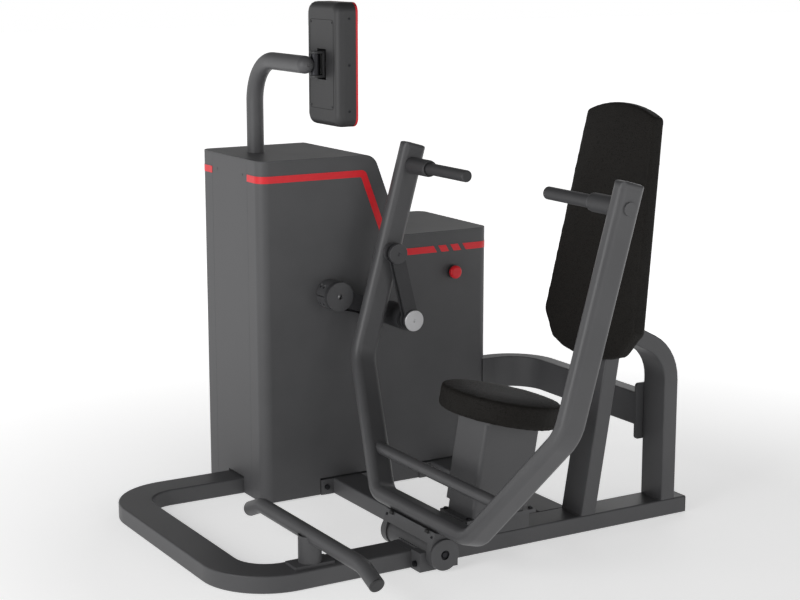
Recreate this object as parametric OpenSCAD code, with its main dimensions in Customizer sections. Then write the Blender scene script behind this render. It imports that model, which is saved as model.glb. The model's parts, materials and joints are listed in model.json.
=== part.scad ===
// Seated chest press: a low-pivoted U-shaped push lever, driven through a crank
// and link by a motor in the tower beside the seat.
// Origin: on the floor under the seat, in the seat's centre plane.
// +X is to the sitter's left, +Y to the sitter's back, +Z is up.

/* [Base frame] */
// Width of the flat base tubes
tube_w = 100; // [90:1:110]
// Height of the flat base tubes
tube_h = 50; // [44:1:54]
// Wall of the steel tubes
wall = 3; // [2:0.5:4]
// Front face of the front loop
front_y = -833; // [-860:1:-820]
// Rear end of the long rail
rear_y = 662; // [650:1:700]
// Centre of the loop's far leg
far_leg_x = -843; // [-860:1:-830]
// Centre-line radius of the loop's corners
loop_r = 145; // [120:1:160]

/* [Push lever] */
// Distance of the pivot axis in front of the origin
pivot_back = 235; // [230:1:240]
// Height of the pivot axis
pivot_z = 48.5; // [47:0.5:50]
// Lean of the lever from the vertical at rest
lever_lean = 15.68; // [15:0.01:16]
// Half width between the corners of the lever's bottom tube
lever_low = 239.5; // [230:0.5:245]
// Half width between the lever's arms
lever_high = 521.5; // [515:0.5:525]
// Length of the arms, from the pivot to their tops
lever_len = 1082; // [1060:1:1090]

/* [Drive] */
// Length of the crank
crank_r = 195.7; // [190:0.1:200]
// Angle of the crank below the horizontal
crank_down = 20.9; // [20:0.1:22]
// Height of the drive shaft
drive_z = 635; // [630:1:640]
// Distance of the drive shaft in front of the origin
drive_back = 167.7; // [165:0.1:170]

/* [Seat] */
// Lean of the backrest and of the seat column
seat_lean = 9.4; // [8:0.1:11]
// Length of the oval seat, side to side
seat_w = 384; // [360:4:400]
// Depth of the oval seat
seat_d = 320; // [300:4:330]
// Thickness of the seat
seat_t = 68; // [60:1:70]
// Height of the backrest
pad_h = 742; // [700:2:750]
// Half width of the backrest at its bottom
pad_low = 214; // [190:1:220]
// Half width of the backrest at its top
pad_high = 153; // [140:1:160]
// Thickness of the backrest's padding
pad_t = 44; // [40:1:50]

/* [Tower] */
// Near side of the tower
tower_near = -650; // [-655:1:-648]
// Far side of the tower
tower_far = -1058; // [-1070:1:-1050]
// Front of the tower
tower_front = -397; // [-400:1:-395]
// Back of the tower
tower_back = 410; // [405:1:420]
// Height of the tall part
tower_top = 1048; // [1040:1:1060]
// Height of the low part
tower_low = 793; // [785:1:800]
// Sheet of the covers
sheet = 3; // [2:0.5:3]

/* [Screen] */
// Height of the screen's arm
screen_z = 1333; // [1325:1:1340]
// Width of the screen
screen_w = 193; // [185:1:200]
// Height of the screen
screen_h = 356; // [340:1:365]

/* [Hidden] */
$fn = 64;

gap = 0.3;
fit = 0.05;
steel = "dimgray";
pivot_y = -pivot_back;
drive_y = -drive_back;
rail_corner = 5;
rail_half = tube_w/2;
loop_front = front_y + tube_w/2;
bend_y = loop_front + loop_r;
block_front = -297;
block_back = -175;
block_near = 95;
block_h = 55;
block_bolt_x = 73;
housing_r = 40;
housing_far = -120;
shaft_r = 20;
bush_r = 26;
cross_front_y = -108;
cross_rear_y = 247;
flange_half = 92;
flange_bolt = 73;
ear_t = 22.5;
ear_r = 44;
arm_t = 45;
arm_d = 79;
arm_corner = 20;
cap_h = 20;
cap_r = 18;
cap_side_r = 12;
arm_off = -5;
ear_front = 45;
low_s = 77;
flare_s = 427;
low_bend = 62;
high_bend = 110;
flare_x = lever_high - lever_low;
flare_z = flare_s - low_s;
flare_up = atan2(flare_z, flare_x);
bar_s = 193;
bar_r = 16.7;
grip_s = 1016;
grip_tip = 196;
sleeve_r = 25;
sleeve_len = 100;
grip_r = 17.5;
handle_r = 14;
bar_head_r = 17.5;
link_s = 750.6;
link_w = 42;
link_eye_r = 30;
sleeve_seat_r = 16;
boss_r = 28;
boss_t = 11;
boss_pin_r = 15;
link_pivot_r = 10;
pin_r = 8;
crank_end_y = drive_y + crank_r*cos(crank_down);
crank_end_z = drive_z - crank_r*sin(crank_down);
eye_r = 37;
eye_bore = 26.5;
hub_r = 44;
hub_near = -577;
arm_plate = [-598, -583];
eye_near = -491;
base_in = 18;
corner_in = 34;
panel_half = 122;
tower_mid = (tower_near + tower_far)/2;
stop_y = 275;
stop_z = 661.7;
stop_hole_r = 15;
stop_stem_r = 9;
stop_head_r = 20.5;
drive_shaft_r = 22;
motor_y = 190;
motor_z = 300;
big_pulley_r = 150;
small_pulley_r = 50;
belt_x = [-836, -812];
bearing_r = 42;
clamp_x = [-637, -617];
clamp_at = 33;
clamp_r = 5;
slant_y = 303;
slant_base = tube_h;
post_r = 26;
post_x = -885;
post_y = -292;
post_bend = 130;
post_end = -556;
screen_x = -555;
screen_back = -237;
screen_t = 67;
swivel_y = -258;
tilt_y = -222;
barrel_r = 15;
yoke_pin_r = 8;
yoke_half = 38;
yoke_w = 32;
tilt_pin_r = 5;
pocket = [52, 31, 88];
case_round = 26;
case_inset = 20;
seat_tilt = 11;
seat_y = 22;
seat_z = 408;
sleeve_w = 150;
sleeve_d = 186;
seat_foot_z = 125;
pad_base_z = 505;
pad_base_y = 300;
board_t = (slant_y - pad_base_y)*cos(seat_lean) + (pad_base_z - slant_base)*sin(seat_lean)
  - tube_h/2 - pad_t;

// ---------- 2D outlines ----------

// A circular fillet of radius r at corner b of the path a-b-c
function fillet(a, b, c, r, n = 8) =
  let (u = (a - b)/norm(a - b), v = (c - b)/norm(c - b),
       half = acos(u*v)/2, mid = (u + v)/norm(u + v),
       centre = b + mid*r/sin(half),
       start = b + u*r/tan(half) - centre, turn = 180 - 2*half,
       side = (u[0]*v[1] - u[1]*v[0]) > 0 ? -1 : 1)
  [for (i = [0:n]) let (t = side*turn*i/n)
    centre + [start[0]*cos(t) - start[1]*sin(t), start[0]*sin(t) + start[1]*cos(t)]];

// Top line of the tower, seen from the side, lowered by d
shoulder_lean = 20.6;
function top_line(d, r_out, r_in) =
  let (shift = d/cos(shoulder_lean),
       top_y = -8.3 - shift + d*tan(shoulder_lean),
       foot_y = top_y + (tower_top - tower_low)*tan(shoulder_lean),
       front = [tower_front - 10, tower_top - d], back = [tower_back + 10, tower_low - d],
       high = [top_y, tower_top - d], low = [foot_y, tower_low - d])
  concat([front], fillet(front, high, low, r_out), fillet(high, low, back, r_in), [back]);

module side_outline(d, r_out, r_in) {
  line = top_line(d, r_out, r_in);
  polygon(concat(line, [[tower_back + 10, -20], [tower_front - 10, -20]]));
}

// Extrudes a side outline, drawn as Y and Z, across the tower from x0 to x1
module across(x0, x1)
  translate([x0, 0, 0]) rotate([90, 0, 90]) linear_extrude(x1 - x0) children();

module round_rect(a, b, r) {
  square([a - 2*r, b], center = true);
  square([a, b - 2*r], center = true);
  for (i = [-1, 1], j = [-1, 1]) translate([i*(a/2 - r), j*(b/2 - r)]) circle(r);
}

module hollow_rect(a, b, r, t) difference() {
  round_rect(a, b, r);
  round_rect(a - 2*t, b - 2*t, max(r - t, 1));
}

// Plan of the tower covers' outer face, d inside it
module tower_plan(d) translate([(tower_near + tower_far)/2, (tower_front + tower_back)/2])
  round_rect(tower_near - tower_far - 2*d, tower_back - tower_front - 2*d, 33 - d);

// ---------- tube helpers ----------

module rail_section() hollow_rect(tube_w, tube_h, rail_corner, wall);
module tube_along_y(x, y0, y1, z)
  translate([x, y0, z]) rotate([-90, 0, 0]) linear_extrude(y1 - y0) rail_section();
module tube_along_x(y, x0, x1, z)
  translate([x0, y, z]) rotate([90, 0, 90]) linear_extrude(x1 - x0) rail_section();
module rod_x(x0, x1, r) translate([x0, 0, 0]) rotate([0, 90, 0]) cylinder(x1 - x0, r, r);

// A ring of [inward, across] points carried along a path of [x, z, heading] stations
function tube_ring(w, d, r) =
  [for (q = [0:3], i = [0:5]) let (a = 90*q + 18*i)
    [(q == 0 || q == 3 ? 1 : -1)*(w/2 - r) + r*cos(a), (q < 2 ? 1 : -1)*(d/2 - r) + r*sin(a)]];
function both_halves(half) = concat(
  [for (i = [len(half) - 1:-1:0]) [-half[i][0], half[i][1], -half[i][2]]], half);
module sweep(path, ring) {
  n = len(ring);
  m = len(path);
  polyhedron(
    [for (s = path, p = ring) [s[0] - p[0]*sin(s[2]), p[1], s[1] + p[0]*cos(s[2])]],
    concat([[for (i = [n - 1:-1:0]) i], [for (i = [0:n - 1]) (m - 1)*n + i]],
      [for (k = [0:m - 2], i = [0:n - 1]) let (j = (i + 1) % n)
        [k*n + i, k*n + j, (k + 1)*n + j, (k + 1)*n + i]]));
}
module at_pivot() translate([0, pivot_y, pivot_z]) children();
module on_lever() at_pivot() rotate([-lever_lean, 0, 0]) children();
module at_drive() translate([0, drive_y, drive_z]) children();
module at_crank_end() translate([0, crank_end_y, crank_end_z]) children();
module at_link_top() on_lever() translate([0, arm_off, link_s]) children();
module on_both_sides() for (s = [0, 180]) rotate([0, 0, s]) children();

// ---------- base frame ----------

module front_loop() color(steel) {
  mid = tube_h/2;
  tube_along_y(0, bend_y, block_front, mid);
  translate([-loop_r, bend_y, mid]) rotate([0, 0, -90]) rotate_extrude(angle = 90)
    translate([loop_r, 0]) rail_section();
  tube_along_x(loop_front, far_leg_x + loop_r, -loop_r, mid);
  translate([far_leg_x + loop_r, bend_y, mid]) rotate([0, 0, 180]) rotate_extrude(angle = 90)
    translate([loop_r, 0]) rail_section();
  tube_along_y(far_leg_x, bend_y, tower_front + 12, mid);
}

module pivot_block() color(steel) difference() {
  translate([-rail_half, block_front, 0])
    cube([rail_half + block_near, block_back - block_front, block_h]);
  at_pivot() rod_x(-200, 200, housing_r + 0.1);
  translate([block_bolt_x, block_front - 1, 20]) rotate([-90, 0, 0]) cylinder(22, 5, 5);
  translate([-rail_half - 1, block_front - 1, tube_h])
    cube([2*rail_half + 1, 20, 10]);
}

module pivot_housing() color(steel) at_pivot() difference() {
  rod_x(housing_far, block_near, housing_r);
  rod_x(housing_far - 1, block_near + 1, bush_r + fit);
}

module pivot_bushes() color("darkgoldenrod") at_pivot() difference() {
  union() for (x = [housing_far + 1, block_near - 51]) rod_x(x, x + 50, bush_r);
  rod_x(housing_far - 1, block_near + 1, shaft_r + fit);
}

module long_rail() color(steel) tube_along_y(0, block_back, rear_y, tube_h/2);

module rail_end_cap() color([0.1, 0.1, 0.1]) translate([0, rear_y, tube_h/2]) {
  rotate([-90, 0, 0]) linear_extrude(3) round_rect(tube_w, tube_h, rail_corner);
  translate([0, -18, 0]) rotate([-90, 0, 0]) linear_extrude(18)
    round_rect(tube_w - 2*wall - 0.6, tube_h - 2*wall - 0.6, 2);
}

module cross_tubes() color(steel) for (y = [cross_front_y, cross_rear_y])
  tube_along_x(y, tower_near + 2, -rail_half, tube_h/2);

// Bolting tabs where the two cross tubes meet the tower's own base
module cross_tube_flanges() color(steel) for (y = [cross_front_y, cross_rear_y]) difference() {
  translate([tower_near - 8, y - flange_half, 1]) cube([10, 2*flange_half, 48]);
  translate([tower_near - 9, y, tube_h/2]) rotate([90, 0, 90]) linear_extrude(20)
    round_rect(tube_w - 2*wall, tube_h - 2*wall, 2);
  for (s = [-1, 1]) translate([tower_near, y + s*flange_bolt, tube_h/2]) rod_x(-20, 20, 5.5);
}

module frame_bolts() color("gray") {
  for (y = [cross_front_y, cross_rear_y], s = [-1, 1])
    translate([tower_near + 2, y + s*flange_bolt, tube_h/2]) rod_x(0, 6, 8);
  translate([block_bolt_x, block_front - 7, 20]) rotate([-90, 0, 0]) {
    cylinder(7, 8.5, 8.5);
    cylinder(24, 4.9, 4.9);
  }
}

// ---------- footrest ----------

rest_y = -583;
rest_z = 133;
rest_r = 21.2;
rest_half = 270;
rest_drop = 23;
rest_tail = 92;

module footrest_post() color(steel) {
  translate([0, rest_y, tube_h]) difference() {
    union() {
      translate([-32, -58, 0]) cube([64, 116, 8]);
      cylinder(rest_z - tube_h, 32, 32);
    }
    translate([0, 0, 8]) cylinder(200, 29, 29);
    translate([-100, 0, rest_z - tube_h]) rod_x(0, 200, rest_r);
  }
}

rest_end = rest_tail - 36;
rest_bend = 90;
knee_out = [rest_half + rest_bend*sin(rest_drop), rest_bend*(cos(rest_drop) - 1)];
function rest_path(over) = both_halves(concat(
  [for (i = [0:5]) let (a = rest_drop*i/5)
    [rest_half + rest_bend*sin(a), rest_bend*(cos(a) - 1), -a]],
  [[knee_out[0] + (rest_end + over)*cos(rest_drop), knee_out[1] - (rest_end + over)*sin(rest_drop),
    -rest_drop]]));
function rest_ring(r) = [for (i = [0:29]) [r*cos(12*i), r*sin(12*i)]];

module footrest_bar() color(steel) translate([0, rest_y, rest_z]) difference() {
  sweep(rest_path(0), rest_ring(rest_r));
  sweep(rest_path(1), rest_ring(rest_r - wall));
}

module footrest_caps() color([0.1, 0.1, 0.1]) translate([0, rest_y, rest_z])
  on_both_sides() translate([knee_out[0], 0, knee_out[1]]) rotate([0, 90 + rest_drop, 0])
    translate([0, 0, rest_end]) {
      cylinder(3, rest_r, rest_r);
      translate([0, 0, 3]) cylinder(3, rest_r, rest_r - 4);
      translate([0, 0, -16]) cylinder(16, rest_r - wall - 0.5, rest_r - wall - 0.5);
    }

// ---------- seat and backrest ----------

// Places a child on the lean of the seat column and the backrest post
module leaning(y, z) translate([0, y, z]) rotate([-seat_lean, 0, 0]) children();

module seat_pedestal() color(steel) difference() {
  union() {
    translate([-rail_half, -117, tube_h]) cube([tube_w, 210, 50]);
    translate([-71, -130, tube_h + 50]) cube([142, 232, 10]);
  }
  translate([-rail_half + 5, -112, tube_h - 1]) cube([tube_w - 10, 200, 46]);
}

sleeve_y = -20;
module seat_post() color("gray") intersection() {
  leaning(sleeve_y, seat_foot_z) translate([0, 0, -60]) linear_extrude(240)
    hollow_rect(sleeve_w - 16, sleeve_d - 16, 10, 4);
  translate([-200, -300, tube_h + 60]) cube([400, 600, 400]);
}

module seat_sleeve() color(steel) {
  difference() {
    leaning(sleeve_y, seat_foot_z) linear_extrude(320) hollow_rect(sleeve_w, sleeve_d, 14, 4);
    seat_underside(300, -8);
    translate([-200, -300, 0]) cube([400, 600, seat_foot_z]);
  }
  difference() {
    translate([0, seat_y, seat_z]) rotate([-seat_tilt, 0, 0]) translate([-110, -100, -seat_t/2 - 8])
      cube([220, 200, 8]);
    for (i = [-1, 1], j = [-1, 1]) translate([0, seat_y, seat_z]) rotate([-seat_tilt, 0, 0])
      translate([i*92, j*82, -seat_t]) cylinder(60, 4.5, 4.5);
  }
}

// Everything above the plane under the seat, h thick
module seat_underside(h, up) translate([0, seat_y, seat_z]) rotate([-seat_tilt, 0, 0])
  translate([-300, -300, -seat_t/2 + up]) cube([600, 600, h]);

module oval(w, d, n = 48) polygon([for (i = [0:n - 1]) [w/2*cos(360*i/n), d/2*sin(360*i/n)]]);

module seat_cushion() color([0.13, 0.13, 0.13])
  translate([0, seat_y, seat_z]) rotate([-seat_tilt, 0, 0]) translate([0, 0, -seat_t/2]) {
    linear_extrude(8) oval(seat_w - 14, seat_d - 14);
    translate([0, 0, 8]) linear_extrude(seat_t - 18) oval(seat_w, seat_d);
    translate([0, 0, seat_t - 10]) linear_extrude(6) oval(seat_w - 5, seat_d - 5);
    translate([0, 0, seat_t - 4]) linear_extrude(4) oval(seat_w - 16, seat_d - 16);
  }

module slant_post() color(steel) intersection() {
  leaning(slant_y, slant_base) translate([0, 0, -30]) linear_extrude(1010)
    hollow_rect(tube_w, tube_h, rail_corner, wall);
  translate([-200, -500, tube_h]) cube([400, 1500, 1500]);
}

rear_post_y = 597;
rear_post_top = 413;
rear_bend = 136;
rear_turn = 63;
function rear_path(over) = concat(
  [[rear_post_y, tube_h - over, 90]],
  [for (i = [0:7]) let (a = 90 + rear_turn*i/7)
    [rear_post_y - rear_bend + rear_bend*sin(a), rear_post_top - rear_bend*cos(a), a]],
  [[rear_post_y - rear_bend + rear_bend*cos(rear_turn) + 200*cos(90 + rear_turn),
    rear_post_top + rear_bend*sin(rear_turn) + 200*sin(90 + rear_turn), 90 + rear_turn]]);
module rear_post() color(steel) difference() {
  rotate([0, 0, 90]) sweep(rear_path(0), tube_ring(tube_h, tube_w, rail_corner));
  rotate([0, 0, 90]) sweep(rear_path(1), tube_ring(tube_h - 2*wall, tube_w - 2*wall, rail_corner - wall));
  leaning(slant_y, slant_base) translate([-200, -200 + tube_h/2, 0]) cube([400, 200, 1200]);
}

arc_z = 312;
arc_y = 572;
arc_x = -677;
arc_bend = 137;
module arc_section() hollow_rect(tube_h, tube_w, rail_corner, wall);
module arc_tube() color(steel) {
  translate([arc_x, tower_back - 15, arc_z]) rotate([-90, 0, 0])
    linear_extrude(arc_y - arc_bend - tower_back + 15) arc_section();
  translate([arc_x + arc_bend, arc_y - arc_bend, arc_z]) rotate([0, 0, 90])
    rotate_extrude(angle = 90) translate([arc_bend, 0]) arc_section();
  translate([arc_x + arc_bend, arc_y, arc_z]) rotate([90, 0, 90])
    linear_extrude(-rail_half - 10 - arc_x - arc_bend) arc_section();
}

module arc_flange() color(steel) {
  translate([-rail_half - 10, arc_y + 12, 304]) rotate([90, 0, 90]) linear_extrude(10)
    round_rect(74, 172, 10);
  for (z = [232, 376]) translate([-rail_half - 10, arc_y + 12, z]) rod_x(-7, 0, 8);
}

// The outline of the backrest, drawn upright from its lowest point
module pad_outline(grow) {
  crown_r = 313;
  crown_turn = 26;
  crown_z = pad_h + grow - crown_r;
  crown = [for (i = [-8:8]) let (a = crown_turn*i/8)
    [-crown_r*sin(a)*(pad_high + grow)/(crown_r*sin(crown_turn)), crown_z + crown_r*cos(a)]];
  low = [[pad_low + grow, 112], [158 + grow, 38 - grow], [100, 19 - grow], [0, 4 - grow]];
  polygon(concat([for (i = [3:-1:0]) [-low[i][0], low[i][1]]],
    [for (i = [16:-1:0]) crown[i]], low));
}

module back_pad() color([0.13, 0.13, 0.13]) leaning(pad_base_y, pad_base_z) rotate([90, 0, 0]) {
  translate([0, 0, -8]) linear_extrude(5) pad_outline(-2);
  translate([0, 0, -3]) linear_extrude(3) pad_outline(-5);
  translate([0, 0, -pad_t + 6]) linear_extrude(pad_t - 14) pad_outline(0);
  translate([0, 0, -pad_t]) linear_extrude(6) pad_outline(-3);
}

// Plywood back of the pad, bolted to the post's front face
module back_board() color("black") leaning(pad_base_y, pad_base_z) {
  rotate([90, 0, 0]) translate([0, 0, -pad_t - board_t]) linear_extrude(board_t - fit)
    pad_outline(-14);
}

// ---------- tower ----------

module tower_base() color(steel) {
  near_x = tower_near - 8 - tube_h/2;
  far_x = tower_far + base_in + tube_h/2;
  for (x = [near_x, far_x]) translate([x, tower_front + base_in, tube_h/2]) rotate([-90, 0, 0])
    linear_extrude(tower_back - tower_front - 2*base_in) hollow_rect(tube_h, tube_h, rail_corner, wall);
  for (y = [tower_front + base_in + tube_h/2, 0, tower_back - base_in - tube_h/2])
    translate([far_x + tube_h/2, y, tube_h/2]) rotate([90, 0, 90])
      linear_extrude(near_x - far_x - tube_h) hollow_rect(tube_h, tube_h, rail_corner, wall);
}

// Two welded uprights carry the drive shaft's bearings, and a post carries the screen
module tower_uprights() color(steel) {
  for (x = [tower_near - 20, tower_far + 60]) difference() {
    translate([x - 10, drive_y - 90, tube_h]) cube([10, 180, drive_z + 70 - tube_h]);
    at_drive() rod_x(-1200, 0, bearing_r);
  }
  translate([post_x, post_y, tube_h]) difference() {
    translate([-40, -40, 0]) cube([80, 80, tower_top - 5 - tube_h]);
    translate([-36, -36, -1]) cube([72, 72, 1200]);
  }
  translate([tower_far + 62, 60, tube_h]) cube([270, 230, 6]);
}

module notches() {
  translate([tower_near - 60, cross_front_y - 95, -1]) cube([120, 190, 56]);
  translate([tower_near - 60, cross_rear_y - 95, -1]) cube([120, 190, 56]);
  translate([far_leg_x - 54, tower_front - 60, -1]) cube([108, 120, 56]);
  translate([tower_near - 60, tower_back - 16, arc_z - 54]) cube([70, 40, 108]);
  at_drive() rod_x(tower_near - 60, tower_near + 60, 30);
}

module cover_shell() difference() {
  intersection() {
    translate([0, 0, 3]) linear_extrude(tower_top) difference() { tower_plan(0); tower_plan(sheet); }
    across(tower_far - 1, tower_near + 1) side_outline(4, 42, 12);
  }
  notches();
}

module near_cover() color(steel) difference() {
  intersection() {
    cover_shell();
    translate([tower_mid + panel_half, tower_front - 5, 0])
      cube([300, tower_back - tower_front - sheet + 5, 1200]);
  }
  translate([tower_near - 10, stop_y, stop_z]) rod_x(0, 20, stop_hole_r);
}

module far_cover() color(steel) intersection() {
  cover_shell();
  translate([tower_mid - panel_half - 300, tower_front - 5, 0])
    cube([300, tower_back - tower_front - sheet + 5, 1200]);
}

module front_panel() color(steel) {
  difference() {
    translate([tower_mid - panel_half + 0.5, tower_front, 3])
      cube([2*panel_half - 1, sheet, tower_top - 7]);
    notches();
  }
  for (s = [-1, 1]) translate([tower_mid + s*88, tower_front - 1, 998]) rotate([-90, 0, 0])
    cylinder(1, 4, 4);
}

module rear_panel() color(steel) difference() {
  translate([tower_far + corner_in, tower_back - sheet, 3])
    cube([tower_near - tower_far - 2*corner_in, sheet, tower_low - 7.2]);
  for (i = [0:9]) translate([tower_mid - 90, tower_back - 10, 560 + 16*i]) cube([180, 20, 6]);
  notches();
  translate([tower_mid - 26, tower_back - 10, 120]) cube([52, 20, 34]);
}

module tower_lid() color(steel) difference() {
  intersection() {
    difference() {
      across(tower_far, tower_near) side_outline(0, 46, 12);
      across(tower_far - 1, tower_near + 1) side_outline(4, 42, 12);
      translate([tower_far - 5, tower_front - 50, -50]) cube([500, 49, 1200]);
      translate([tower_far - 5, tower_back + 1, -50]) cube([500, 49, 1200]);
    }
    translate([0, 0, 100]) linear_extrude(tower_top) tower_plan(0);
  }
  translate([post_x, post_y, 900]) cylinder(300, post_r + 0.3, post_r + 0.3);
}

// The coloured band that follows the top line, with three slanted breaks at the back
stripe_at = 45;
stripe_w = 21;
module stripe_trim() color("crimson") difference() {
  intersection() {
    difference() {
      across(tower_far - 3, tower_near + 3) side_outline(stripe_at, 22, 30);
      across(tower_far - 4, tower_near + 4) side_outline(stripe_at + stripe_w, 8, 44);
    }
    linear_extrude(tower_top) difference() { tower_plan(-1); tower_plan(0); }
  }
  translate([tower_mid - panel_half, tower_front - 10, 900]) cube([2*panel_half, 30, 200]);
  translate([tower_far + corner_in, tower_back - 10, 600])
    cube([tower_near - tower_far - 2*corner_in, 30, 200]);
  for (i = [0:2]) translate([tower_far - 5, 204 + 45*i, tower_low - stripe_at + 1])
    rotate([90, 0, 90]) linear_extrude(430)
      polygon([[0, 0], [17, 0], [17 + 15, -stripe_w - 3], [15, -stripe_w - 3]]);
}

module drive_motor() color("darkslategray") translate([0, motor_y, motor_z]) {
  difference() {
    union() {
      rod_x(-1000, belt_x[0] - 12, 85);
      rod_x(-1030, -1000, 70);
    }
    rod_x(belt_x[0] - 60, belt_x[0], 16);
  }
  translate([-990, -90, 56 - motor_z]) cube([110, 180, motor_z - 56 - 82]);
}

module belt_outline(grow) {
  run = [motor_y - drive_y, motor_z - drive_z];
  hull() {
    circle(big_pulley_r + grow);
    translate(run) circle(small_pulley_r + grow);
  }
}

module drive_belt() color([0.08, 0.08, 0.08]) at_drive() translate([belt_x[0] + 2, 0, 0])
  rotate([90, 0, 90]) linear_extrude(belt_x[1] - belt_x[0] - 4) difference() {
    belt_outline(5);
    belt_outline(0.3);
  }

module shaft_bearings() color("silver") at_drive()
  for (x = [tower_near - 30, tower_far + 50]) difference() {
    rod_x(x, x + 10, bearing_r - 2*fit);
    rod_x(x - 1, x + 11, drive_shaft_r + fit);
  }

module control_box() color([0.2, 0.2, 0.2]) {
  translate([tower_far + 20, -250, 720]) cube([60, 200, 220]);
  difference() {
    translate([tower_mid - 25, tower_back - 34, 121]) cube([50, 34, 32]);
    translate([tower_mid - 17, tower_back - 20, 128]) cube([34, 30, 18]);
  }
}

module button_collar() color("black") translate([0, stop_y, stop_z]) difference() {
  union() {
    rod_x(tower_near - 14, tower_near, stop_hole_r - 2*fit);
    rod_x(tower_near, tower_near + 5, stop_head_r + 0.5);
    rod_x(tower_near - 40, tower_near - 14, 20);
  }
  rod_x(tower_near - 30, tower_near + 10, stop_stem_r + 2*fit);
}
module stop_button() color("red") translate([0, stop_y, stop_z]) {
  rod_x(tower_near - 20, tower_near + 14, stop_stem_r);
  rod_x(tower_near + 14, tower_near + 24, stop_head_r);
  translate([tower_near + 24, 0, 0]) rotate([0, 90, 0]) cylinder(4, stop_head_r, stop_head_r - 5.5);
}

// ---------- push lever ----------

module arm_profile() round_rect(arm_t, arm_d, arm_corner);

// Stations along the U, each its centre and its heading: one half, then the whole
cut_low = low_bend*tan(flare_up/2);
cut_high = high_bend*tan((90 - flare_up)/2);
flare_run = norm([flare_x, flare_z]) - cut_low - cut_high;
flare_dir = [cos(flare_up), sin(flare_up)];
flare_from = [lever_low, low_s] + flare_dir*cut_low;
high_centre = flare_from + flare_dir*flare_run + [-sin(flare_up), cos(flare_up)]*high_bend;
arm_top = lever_len - cap_h;
function half_path(over) = concat(
  [for (i = [0:8]) let (a = flare_up*i/8)
    [lever_low - cut_low + low_bend*sin(a), low_s + low_bend*(1 - cos(a)), a]],
  [for (i = [0:8]) let (a = flare_up + (90 - flare_up)*i/8)
    [high_centre[0] + high_bend*sin(a), high_centre[1] - high_bend*cos(a), a]],
  [[lever_high, arm_top + over, 90]]);
function arm_ring(t) = tube_ring(arm_t - 2*t, arm_d - 2*t, arm_corner - t);

// The swept U, its section cut in by t all round
module lever_sweep(t, over) sweep(both_halves(half_path(over)), arm_ring(t));

module lever_frame() color(steel) on_lever() difference() {
  translate([0, arm_off, 0]) lever_sweep(0, 0);
  translate([0, arm_off, 0]) lever_sweep(wall, 1);
  translate([0, arm_off, grip_s]) rod_x(-600, 600, handle_r);
  translate([0, arm_off, link_s]) rod_x(-600, 0, boss_pin_r);
}

// Rounded caps welded on the arms' tops
module lever_tops() color(steel) on_lever() translate([0, arm_off, arm_top]) on_both_sides()
  intersection() {
    translate([lever_high, 0, 0]) linear_extrude(cap_h) arm_profile();
    translate([lever_high - 50, 0, 0]) rotate([90, 0, 90]) linear_extrude(100)
      round_rect(arm_d, 2*cap_h, cap_r);
    translate([lever_high, 0, 0]) rotate([90, 0, 0]) linear_extrude(2*arm_d, center = true)
      round_rect(arm_t, 2*cap_h, cap_side_r);
  }

module lever_cross_bar() color(steel) on_lever() translate([0, arm_off, 0]) difference() {
  translate([0, 0, bar_s]) rod_x(-330, 330, bar_r);
  translate([0, 0, bar_s]) rod_x(-400, 400, bar_r - wall);
  on_both_sides() translate([flare_from[0], 0, flare_from[1]]) rotate([0, 90 - flare_up, 0])
    linear_extrude(flare_run) arm_profile();
}

// Saddle under the U: two ears on the pivot shaft and the bridge between them
saddle_near = block_near + 0.5;
saddle_far = housing_far - 0.5;
module lever_saddle() color(steel) on_lever() difference() {
  union() {
    for (x = [saddle_near, saddle_far - ear_t]) {
      rod_x(x, x + ear_t, ear_r);
      translate([x, -ear_front, 0]) cube([ear_t, 84, low_s - arm_t/2]);
    }
    difference() {
      translate([saddle_far - 1, -ear_front, 20])
        cube([saddle_near - saddle_far + 2, 81, low_s - arm_t/2 - 20]);
      rod_x(-200, 200, housing_r + 2);
    }
  }
  rod_x(-200, 200, shaft_r + fit);
}

module pivot_shaft() color("silver") at_pivot() rod_x(saddle_far - ear_t, saddle_near + ear_t, shaft_r);

module pivot_caps() color(steel) at_pivot() {
  difference() {
    rod_x(saddle_near + ear_t, saddle_near + ear_t + 8, ear_r);
    translate([saddle_near + ear_t + 2, 0, 0]) rod_x(0, 20, 13);
  }
  translate([saddle_near + ear_t + 2, 0, 0]) rod_x(0, 4, 8);
  rod_x(saddle_far - ear_t - 6, saddle_far - ear_t, ear_r);
}

module at_grip() on_lever() translate([0, arm_off, grip_s]) children();
arm_in = lever_high - arm_t/2;
arm_out = lever_high + arm_t/2;

module handle_bars() color("gray") at_grip() on_both_sides() {
  rod_x(grip_tip + 5, arm_out, handle_r - fit);
  rod_x(arm_out, arm_out + 5, bar_head_r);
}
module hand_sleeves() color([0.12, 0.12, 0.12]) at_grip() on_both_sides() difference() {
  rod_x(arm_in - sleeve_len, arm_in, sleeve_r);
  rod_x(0, 600, handle_r + fit);
}
module sleeve_rings() color("silver") at_grip() on_both_sides() difference() {
  rod_x(arm_in - sleeve_len - 4, arm_in - sleeve_len, sleeve_r - 1.5);
  rod_x(0, 600, grip_r + 4);
}
module hand_grips() color([0.1, 0.1, 0.1]) at_grip() on_both_sides() difference() {
  union() {
    rod_x(grip_tip + 3, arm_in - sleeve_len, grip_r);
    translate([grip_tip, 0, 0]) rotate([0, 90, 0]) cylinder(3, grip_r - 2.5, grip_r);
  }
  rod_x(grip_tip + 5, 600, handle_r + fit);
}

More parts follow.
